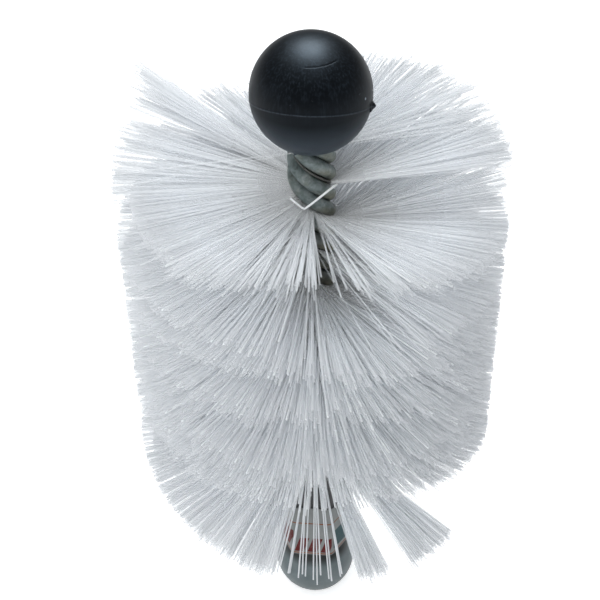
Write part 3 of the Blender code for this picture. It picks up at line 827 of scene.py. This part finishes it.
def ball_outline():
    """The ball's half outline in its own turn, with the seam's low ridge."""
    outline = []
    seam_at = -SEAM_DROP
    for index in range(BALL_ARC + 1):
        height = BALL_R * math.cos(math.pi * index / BALL_ARC)
        if abs(height - seam_at) > SEAM_CLEAR:
            outline.append((math.sqrt(max(0.0, BALL_R ** 2 - height ** 2)), height))
    outline[0] = (0.0, BALL_R)
    outline[-1] = (0.0, -BALL_R)
    for index in range(-SEAM_STEPS, SEAM_STEPS + 1):
        share = index / SEAM_STEPS
        height = seam_at + SEAM_REACH * share
        rise = SEAM_RISE * math.exp(-(share * 2.0) ** 2)
        outline.append((math.sqrt(BALL_R ** 2 - height ** 2) + rise, height))
    outline.sort(key=lambda point: -point[1])
    return outline


def pointing(direction):
    """The turn that takes +Z to a direction."""
    return Vector((0.0, 0.0, 1.0)).rotation_difference(direction).to_matrix().to_4x4()


def make_ball():
    centre = Matrix.Translation((0.0, 0.0, BALL_Z))
    ball = turned("guide_ball_rubber", ball_outline(), BALL_STEPS, centre @ BALL_TURN)

    outward = Vector((math.cos(NUB_AZIMUTH), math.sin(NUB_AZIMUTH), 0.0))
    seam_r = math.sqrt(BALL_R ** 2 - SEAM_DROP ** 2)
    on_seam = outward * (seam_r - NUB_SUNK) + Vector((0.0, 0.0, -SEAM_DROP))
    nub_place = centre @ BALL_TURN @ Matrix.Translation(on_seam) @ pointing(outward)
    combine(ball, turned("nub", NUB_OUTLINE, NUB_STEPS, nub_place), "UNION")

    on_ball = Vector(FLAKE_AT).normalized() * (BALL_R - FLAKE_SUNK)
    lean = pointing(Vector(FLAKE_LEAN).normalized())
    flake_place = Matrix.Translation(Vector((0.0, 0.0, BALL_Z)) + on_ball) @ lean
    combine(ball, turned("flake", FLAKE_OUTLINE, FLAKE_STEPS, flake_place), "UNION")

    low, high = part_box("ball_ferrule")
    flange_r = FLANGE_R + FIT_GAP
    ferrule_r = FERRULE_R + FIT_GAP
    flange_low = high.z - FLANGE_L - FIT_GAP
    cut_low = BALL_Z - BALL_R - CUT_OVERRUN
    seat = [
        (0.0, high.z + FIT_GAP), (flange_r, high.z + FIT_GAP), (flange_r, flange_low),
        (ferrule_r, flange_low), (ferrule_r, low.z - FIT_GAP), (BORE_R, low.z - FIT_GAP),
        (BORE_R, cut_low), (0.0, cut_low),
    ]
    combine(ball, turned("seat", seat, SEAT_STEPS), "DIFFERENCE")
    finish_piece(ball, ball_material(), ["guide_ball"])


# Twisted wires
WIRE_POINTS = 300
ZINC_TONES = (
    (0.30, (0.050, 0.066, 0.064)),
    (0.45, (0.150, 0.184, 0.180)),
    (0.56, (0.240, 0.278, 0.274)),
    (0.70, (0.400, 0.440, 0.436)),
)
STEM_SHADE_Z = (BALL_Z - 0.058, BALL_Z - 0.074)
WARM_BOUNCE_SIDE = (0.62, -0.25, -0.74)
GROOVE_SHADE_R = (0.0082, 0.0058)


def galvanised_material():
    n = Finish("galvanised")
    where = n.place()
    parts = n.split(where)
    cloud = n.noise(where, 95.0, 5.0, 0.65)
    blotch = n.noise(where, 330.0, 4.0, 0.6, 0.6)
    fine = n.noise(where, 1800.0, 3.0, 0.6)
    level = n.math("MULTIPLY_ADD", blotch, 0.55, n.math("MULTIPLY", cloud, 0.45))
    colour = n.ramp(level, ZINC_TONES)
    olive = n.span(n.noise(where, 60.0, 3.0), 0.52, 0.70, 0.0, 0.40)
    colour = n.mix(olive, colour, (0.235, 0.225, 0.165))
    # painted shade: below the first turn, under the fans, the stem is painted darker and brown
    colour = n.mix(n.span(parts["Z"], *STEM_SHADE_Z, 0.0, 0.62), colour, (0.050, 0.042, 0.033))
    # painted reflection: the undersides to the right are painted a dull yellow, as warm light bounced onto
    # them
    normal = n.add("ShaderNodeNewGeometry").outputs["Normal"]
    under = n.span(n.vector("DOT_PRODUCT", normal, WARM_BOUNCE_SIDE), 0.35, 0.85)
    warm_bounce = n.math("MULTIPLY", under, n.span(cloud, 0.38, 0.60, 0.15, 0.60))
    colour = n.mix(warm_bounce, colour, (0.300, 0.262, 0.155))
    # painted shade: the grooves between the wires are painted near black
    square_y = n.math("MULTIPLY", parts["Y"], parts["Y"])
    radius = n.math("SQRT", n.math("MULTIPLY_ADD", parts["X"], parts["X"], square_y))
    groove_shade = n.span(n.math("MULTIPLY_ADD", fine, -0.0012, radius), *GROOVE_SHADE_R, 0.0, 0.92)
    colour = n.mix(groove_shade, colour, (0.012, 0.013, 0.012))
    n.set(Base_Color=colour, Metallic=0.45, Roughness=n.span(blotch, 0.35, 0.65, 0.58, 0.40))
    n.set(Normal=n.bump(n.math("MULTIPLY_ADD", fine, 0.5, blotch), 0.45, 0.00025))
    return n.material


def make_wires(zinc):
    offsets = [side * math.pi / 2.0 + turn * HALF_PAIR for side in (1.0, -1.0) for turn in (-1.0, 1.0)]
    for number, offset in enumerate(offsets, start=1):
        curve = bpy.data.curves.new(f"wire_{number}", "CURVE")
        curve.dimensions = "3D"
        curve.bevel_depth = WIRE_R
        curve.bevel_resolution = 8
        curve.use_fill_caps = True
        spline = curve.splines.new("POLY")
        spline.points.add(WIRE_POINTS)
        for step in range(WIRE_POINTS + 1):
            height = STEM_LOW_Z + (STEM_TOP_Z - STEM_LOW_Z) * step / WIRE_POINTS
            angle = fan_angle(height) + offset
            spline.points[step].co = (HELIX_R * math.cos(angle), HELIX_R * math.sin(angle), height, 1.0)
        spline.use_smooth = True
        finish_piece(new_object(f"wire_{number}", curve), zinc, [f"stem_wire_{number}"])


# Clipped bristle ends between the wires
CLIPPED_DROPS = (0.0300, 0.0515)
CLIPPED_R = (0.0040, 0.0100)
CLIPPED_HALF_W = 0.0008
CLIPPED_STEPS = 60
# the cut ends are painted dark grey to near black, as the shade deep between the wires
CLIPPED_SHADE_TONES = (
    (0.35, (0.030, 0.030, 0.026)),
    (0.50, (0.070, 0.070, 0.062)),
    (0.66, (0.135, 0.132, 0.118)),
)


def clipped_material():
    n = Finish("clipped_pack")
    where = n.place()
    cloud = n.noise(where, 260.0, 4.0, 0.6)
    fibre = n.noise(where, 1500.0, 3.0, 0.6)
    level = n.math("MULTIPLY_ADD", fibre, 0.5, n.math("MULTIPLY", cloud, 0.5))
    n.set(Base_Color=n.ramp(level, CLIPPED_SHADE_TONES), Roughness=n.span(cloud, 0.3, 0.7, 0.60, 0.80))
    n.set(Normal=n.bump(fibre, 0.40, 0.0002))
    return n.material


def make_clipped_pack():
    """The pack's cut ends in the first turn, where no fan stands out at the front."""
    bm = bmesh.new()
    rings = []
    for step in range(CLIPPED_STEPS + 1):
        share = step / CLIPPED_STEPS
        height = BALL_Z - (CLIPPED_DROPS[0] + (CLIPPED_DROPS[1] - CLIPPED_DROPS[0]) * share)
        angle = fan_angle(height)
        ring = []
        for out, side in ((0, -1.0), (1, -1.0), (1, 1.0), (0, 1.0)):
            radius = CLIPPED_R[out]
            off = side * CLIPPED_HALF_W
            ring.append(bm.verts.new((
                radius * math.cos(angle) - off * math.sin(angle),
                radius * math.sin(angle) + off * math.cos(angle),
                height,
            )))
        rings.append(ring)
    for above, below in zip(rings, rings[1:]):
        for corner in range(4):
            ahead = (corner + 1) % 4
            bm.faces.new((above[corner], above[ahead], below[ahead], below[corner]))
    bm.faces.new(rings[0])
    bm.faces.new(reversed(rings[-1]))
    bmesh.ops.recalc_face_normals(bm, faces=bm.faces)
    mesh = bpy.data.meshes.new("clipped_pack")
    bm.to_mesh(mesh)
    bm.free()
    finish_piece(new_object("clipped_pack", mesh), clipped_material())


# End weight
END_R = 0.025
END_ARC_STEPS = 60
END_STEPS = 160
FOOT_R = 0.01785
FOOT_RIM_H = 0.0012
FOOT_EDGE = 0.0008
END_Z = math.sqrt(END_R ** 2 - FOOT_R ** 2)
NECK_R = 0.014
NECK_EDGE = 0.0006
NECK_TOP_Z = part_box("end_weight")[1].z
SHANK_HOLE_R = 0.0063
SHANK_HOLE_Z = 0.0205
INSERT_HOLE_R = 0.0093
INSERT_HOLE_TOP_Z = 0.0163
FOOT_SHADE_Z = (0.016, 0.004)
WEIGHT_SHADOW_Z = (0.0275, 0.0318)
SPOT_AT = (-0.0075, -0.0215, 0.0145)
SPOT_R = (0.0021, 0.0012)
PAINT_TONES = (
    (0.30, (0.086, 0.112, 0.117)),
    (0.52, (0.114, 0.142, 0.147)),
    (0.72, (0.152, 0.181, 0.186)),
)


def painted_material():
    n = Finish("end_weight_paint")
    where = n.place()
    parts = n.split(where)
    cloud = n.noise(where, 55.0, 4.0, 0.6)
    orange_peel = n.noise(where, 700.0, 2.0, 0.5)
    colour = n.ramp(cloud, PAINT_TONES)
    colour = n.mix(n.span(parts["Z"], *FOOT_SHADE_Z, 0.0, 0.55), colour, (0.085, 0.112, 0.108))
    # painted shadow where the label's edge overhangs the paint, a dark spot and small chips
    colour = n.mix(n.span(parts["Z"], *WEIGHT_SHADOW_Z, 0.0, 0.88), colour, (0.022, 0.022, 0.020))
    off = n.math("MULTIPLY_ADD", orange_peel, 0.0012, n.vector("DISTANCE", where, SPOT_AT))
    colour = n.mix(n.span(off, *SPOT_R, 0.0, 0.65), colour, (0.050, 0.060, 0.062))
    chips = n.span(n.noise(where, 260.0, 3.0, 0.7), 0.71, 0.76, 0.0, 0.5)
    colour = n.mix(chips, colour, (0.10, 0.105, 0.10))
    n.set(Base_Color=colour, Roughness=n.span(cloud, 0.3, 0.7, 0.30, 0.44))
    n.set(Normal=n.bump(n.math("MULTIPLY_ADD", orange_peel, 0.35, cloud), 0.25, 0.0003))
    return n.material


def make_end_weight():
    start = math.asin(NECK_R / END_R)
    end = math.pi - math.asin(FOOT_R / END_R)
    outline = [(0.0, SHANK_HOLE_Z), (SHANK_HOLE_R, SHANK_HOLE_Z)]
    outline += [(SHANK_HOLE_R, NECK_TOP_Z - NECK_EDGE), (SHANK_HOLE_R + NECK_EDGE, NECK_TOP_Z)]
    outline += [(NECK_R - NECK_EDGE, NECK_TOP_Z), (NECK_R, NECK_TOP_Z - NECK_EDGE)]
    for index in range(END_ARC_STEPS + 1):
        angle = start + (end - start) * index / END_ARC_STEPS
        outline.append((END_R * math.sin(angle), END_Z + END_R * math.cos(angle)))
    outline[-1] = (FOOT_R, FOOT_RIM_H)
    for turn in (0.25, 0.5, 0.75, 1.0):
        angle = math.pi / 2.0 * turn
        radius = FOOT_R - FOOT_EDGE + FOOT_EDGE * math.cos(angle)
        outline.append((radius, FOOT_EDGE - FOOT_EDGE * math.sin(angle)))
    outline += [(INSERT_HOLE_R, 0.0), (INSERT_HOLE_R, INSERT_HOLE_TOP_Z), (0.0, INSERT_HOLE_TOP_Z)]
    weight = turned("end_weight_casting", outline, END_STEPS)
    finish_piece(weight, painted_material(), ["end_weight"])


# Label, grip and hidden metal
GRIP_TURN = math.radians(-5.0)
FLAT_AT = 0.0207
FLAT_FADE = 0.0006
LABEL_LOW_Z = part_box("label_sleeve")[0].z
LABEL_EDGE_SHADE_Z = (LABEL_LOW_Z + 0.0016, LABEL_LOW_Z + 0.0008)
# the white card is painted grey, as painted shade from the strands over it
SHADED_CARD_TONES = (
    (0.25, (0.176, 0.185, 0.181)),
    (0.55, (0.222, 0.229, 0.224)),
    (0.80, (0.275, 0.280, 0.272)),
)
LINE_Z = (0.0672, 0.0402)
LINE_HALF_W = 0.00060
INK_EDGE = 0.0003
MAROON = (0.095, 0.010, 0.009)
TEAL = (0.022, 0.062, 0.070)
ORANGE = (0.200, 0.055, 0.018)
# plain printed blocks: flat, counted round from the front one, side and height ranges, lean, colour
PRINTED = (
    (0, (-0.0112, -0.0050), (0.0412, 0.0540), 0.30, MAROON),
    (0, (-0.0030, 0.0034), (0.0412, 0.0540), 0.30, MAROON),
    (0, (0.0054, 0.0112), (0.0412, 0.0540), 0.30, MAROON),
    (1, (-0.0100, 0.0110), (0.0430, 0.0590), 0.0, TEAL),
    (-1, (-0.0060, 0.0085), (0.0440, 0.0600), 0.42, MAROON),
    (2, (-0.0090, 0.0090), (0.0440, 0.0480), 0.0, TEAL),
    (3, (-0.0100, 0.0100), (0.0425, 0.0535), 0.42, MAROON),
    (4, (-0.0090, 0.0090), (0.0440, 0.0480), 0.0, TEAL),
)


def block_mask(n, parts, wear, flat, across, up, lean):
    """Where a printed block covers its flat, with worn ink."""
    angle = FRONT + GRIP_TURN + flat * math.pi / 3.0
    out = n.towards(parts, angle)
    aside = n.towards(parts, angle + math.pi / 2.0)
    aside = n.math("MULTIPLY_ADD", n.math("SUBTRACT", parts["Z"], up[0]), -lean, aside)
    mask = n.math("MULTIPLY", n.span(out, FLAT_AT - FLAT_FADE, FLAT_AT), wear)
    for value, low, high in ((aside, *across), (parts["Z"], *up)):
        mask = n.math("MULTIPLY", mask, n.span(value, low, low + INK_EDGE))
        mask = n.math("MULTIPLY", mask, n.span(value, high, high - INK_EDGE))
    return mask


def label_material():
    n = Finish("label_card")
    where = n.place()
    parts = n.split(where)
    fibre = n.noise(where, 900.0, 4.0, 0.65)
    cloud = n.noise(where, 60.0, 3.0)
    colour = n.ramp(cloud, SHADED_CARD_TONES)
    wear = n.span(fibre, 0.30, 0.42, 0.55, 1.0)
    for flat, across, up, lean, ink in PRINTED:
        colour = n.mix(block_mask(n, parts, wear, flat, across, up, lean), colour, ink)
    for height in LINE_Z:
        off = n.math("ABSOLUTE", n.math("SUBTRACT", parts["Z"], height))
        line = n.math("MULTIPLY", n.span(off, LINE_HALF_W, LINE_HALF_W * 0.5), wear)
        colour = n.mix(line, colour, ORANGE)
    # painted shade along the label's bottom edge, over the gap to the weight
    edge_shade = n.span(n.math("MULTIPLY_ADD", cloud, 0.001, parts["Z"]), *LABEL_EDGE_SHADE_Z, 0.0, 0.95)
    colour = n.mix(edge_shade, colour, (0.020, 0.018, 0.015))
    rub = n.span(n.noise(where, 190.0, 4.0, 0.7), 0.60, 0.75, 0.0, 0.30)
    colour = n.mix(rub, colour, (0.14, 0.14, 0.13))
    n.set(Base_Color=colour, Roughness=n.span(cloud, 0.3, 0.7, 0.42, 0.55))
    n.set(Specular_IOR_Level=0.14, Normal=n.bump(fibre, 0.20, 0.0002))
    return n.material


def grip_material():
    n = Finish("grip_plastic")
    where = n.place()
    cloud = n.noise(where, 50.0, 4.0)
    pebble = n.noise(where, 1600.0, 2.0, 0.5)
    scuff = n.span(n.noise(where, 240.0, 5.0, 0.7), 0.62, 0.74)
    colour = n.ramp(cloud, [(0.3, (0.009, 0.009, 0.010)), (0.7, (0.017, 0.017, 0.019))])
    colour = n.mix(n.math("MULTIPLY", scuff, 0.5), colour, (0.055, 0.055, 0.058))
    n.set(Base_Color=colour, Roughness=n.span(cloud, 0.3, 0.7, 0.38, 0.52))
    n.set(Normal=n.bump(n.math("MULTIPLY_ADD", pebble, 0.6, cloud), 0.25, 0.0002))
    return n.material


def metal_material(name, dark, light, rough):
    """Turned or drawn metal with fine rings round the axis and cloudy tarnish."""
    n = Finish(name)
    where = n.place()
    ring = n.noise(n.stretched(where, (0.05, 0.05, 1.0)), 2600.0, 2.0, 0.6)
    cloud = n.noise(where, 120.0, 4.0, 0.6)
    level = n.math("MULTIPLY_ADD", ring, 0.35, n.math("MULTIPLY", cloud, 0.65))
    n.set(Base_Color=n.ramp(level, [(0.3, dark), (0.7, light)]), Metallic=1.0)
    n.set(Roughness=n.span(cloud, 0.3, 0.7, rough, rough + 0.14))
    n.set(Normal=n.bump(ring, 0.20, 0.0001))
    return n.material


def dress_nodes():
    """Finishes for the nodes whose own solids stay."""
    steel = metal_material("crimped_steel", (0.26, 0.26, 0.265), (0.47, 0.47, 0.48), 0.34)
    finishes = {
        "label_sleeve": label_material(),
        "grip_sleeve": grip_material(),
        "ball_ferrule": steel,
        "stem_ferrule": steel,
        "locking_pin": metal_material("pin_steel", (0.40, 0.40, 0.41), (0.60, 0.60, 0.61), 0.22),
        "rod_insert": metal_material("insert_brass", (0.50, 0.33, 0.12), (0.78, 0.58, 0.26), 0.26),
    }
    for node, material in finishes.items():
        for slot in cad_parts[node].material_slots:
            slot.material = material


# Light and floor
WORLD_LEVEL = 0.94
WORLD_COLOUR = (0.93, 0.965, 1.0, 1.0)
WHITE = (1.0, 1.0, 1.0, 1.0)
DARK_LEVEL = 0.58
DARK_SIDE = (0.80, -0.45, 0.40)
DARK_RANGE = (0.35, 0.95)
# what gloss rays see: the white backdrop up to a low height, and a dim room above it
BACKDROP_TOP = -0.12
ROOM_FROM = 0.08
ROOM_LEVEL = 0.12
FLOOR_HALF_W = 6.0
FLOOR_Z = -0.0005
FLOOR_COLOUR = (0.90, 0.90, 0.90, 1.0)
FLOOR_GLOW = 0.55
GLOSS_GLOW = 0.30
LIGHT_BOUNCES = 20
CLEAR_BOUNCES = 40


def make_world():
    """A pale world, darker to the right. Camera rays see white, and gloss and glass rays see a white
    backdrop with a dim room above it."""
    world = bpy.data.worlds.new("studio")
    bpy.context.scene.world = world
    world.use_nodes = True
    n = Nodes(world.node_tree)
    where = n.add("ShaderNodeTexCoord").outputs["Generated"]
    facing = n.vector("DOT_PRODUCT", where, DARK_SIDE)
    studio = n.tree.nodes["Background"]
    n.put(studio.inputs["Color"], WORLD_COLOUR)
    n.put(studio.inputs["Strength"], n.span(facing, *DARK_RANGE, WORLD_LEVEL, DARK_LEVEL, "SMOOTHSTEP"))
    camera, gloss, glass = n.backdrop_rays()
    room = n.span(n.split(where)["Z"], BACKDROP_TOP, ROOM_FROM, 1.0, ROOM_LEVEL, "SMOOTHSTEP")
    white = n.add("ShaderNodeBackground", {"Color": WHITE, "Strength": n.math("MAXIMUM", camera, room)})
    seen = n.math("MAXIMUM", n.math("MAXIMUM", camera, gloss), glass)
    mix = n.add("ShaderNodeMixShader", {"Fac": seen})
    n.put(mix.inputs[1], studio.outputs["Background"])
    n.put(mix.inputs[2], white.outputs["Background"])
    n.put(n.tree.nodes["World Output"].inputs["Surface"], mix.outputs["Shader"])


def make_floor():
    bm = bmesh.new()
    bmesh.ops.create_grid(bm, x_segments=1, y_segments=1, size=FLOOR_HALF_W)
    mesh = bpy.data.meshes.new("floor")
    bm.to_mesh(mesh)
    bm.free()
    floor = new_object("floor", mesh)
    floor.location = (0.0, 0.0, FLOOR_Z)
    n = Finish("floor_white")
    n.set(Base_Color=FLOOR_COLOUR, Roughness=0.9, Specular_IOR_Level=0.1)
    camera, gloss, glass = n.backdrop_rays()
    shown = n.math("MULTIPLY", n.math("MAXIMUM", gloss, glass), GLOSS_GLOW)
    glow = n.add("ShaderNodeEmission", {
        "Color": WHITE,
        "Strength": n.math("MULTIPLY_ADD", camera, FLOOR_GLOW, shown),
    })
    both = n.add("ShaderNodeAddShader")
    n.put(both.inputs[0], n.shader.outputs["BSDF"])
    n.put(both.inputs[1], glow.outputs["Emission"])
    n.put(n.tree.nodes["Material Output"].inputs["Surface"], both.outputs["Shader"])
    mesh.materials.append(n.material)


def lamp(name, at, towards, size, power, colour):
    data = bpy.data.lights.new(name, "AREA")
    data.shape = "RECTANGLE"
    data.size, data.size_y = size
    data.energy = power
    data.color = colour
    light = new_object(name, data)
    light.location = at
    aim = Vector(towards) - Vector(at)
    light.rotation_euler = aim.to_track_quat("-Z", "Y").to_euler()
    return light


def make_lamps():
    ball = (0.0, 0.0, 0.3)
    lamp("overhead", (0.0, 0.50, 1.80), ball, (0.50, 0.40), 4.0, (0.95, 0.975, 1.0))
    # the broad sheen on the ball comes from gloss alone
    sheen = lamp("sheen", (0.0, 0.50, 1.70), ball, (0.90, 1.10), 62.0, (0.82, 0.92, 1.0))
    sheen.visible_diffuse = False
    fill = lamp("front_fill", (-0.9, -1.6, 1.2), (0.0, 0.0, 0.2), (1.40, 1.20), 11.0, (0.98, 0.99, 1.0))
    fill.visible_glossy = False


bpy.context.scene.view_settings.view_transform = "Standard"
# white nylon passes light on from strand to strand many times
bpy.context.scene.cycles.diffuse_bounces = LIGHT_BOUNCES
bpy.context.scene.cycles.max_bounces = LIGHT_BOUNCES
bpy.context.scene.cycles.transparent_max_bounces = CLEAR_BOUNCES
make_camera()
make_world()
make_floor()
make_lamps()
make_fans((
    nylon_material("clear_nylon", 0.175, 1.0),
    nylon_material("frosted_nylon", 0.28, 0.992),
    nylon_material("white_nylon", 0.60, 0.99),
))
make_bent_strand(nylon_material("bent_nylon", 0.90, 0.99))
make_ball()
make_wires(galvanised_material())
make_clipped_pack()
make_end_weight()
dress_nodes()
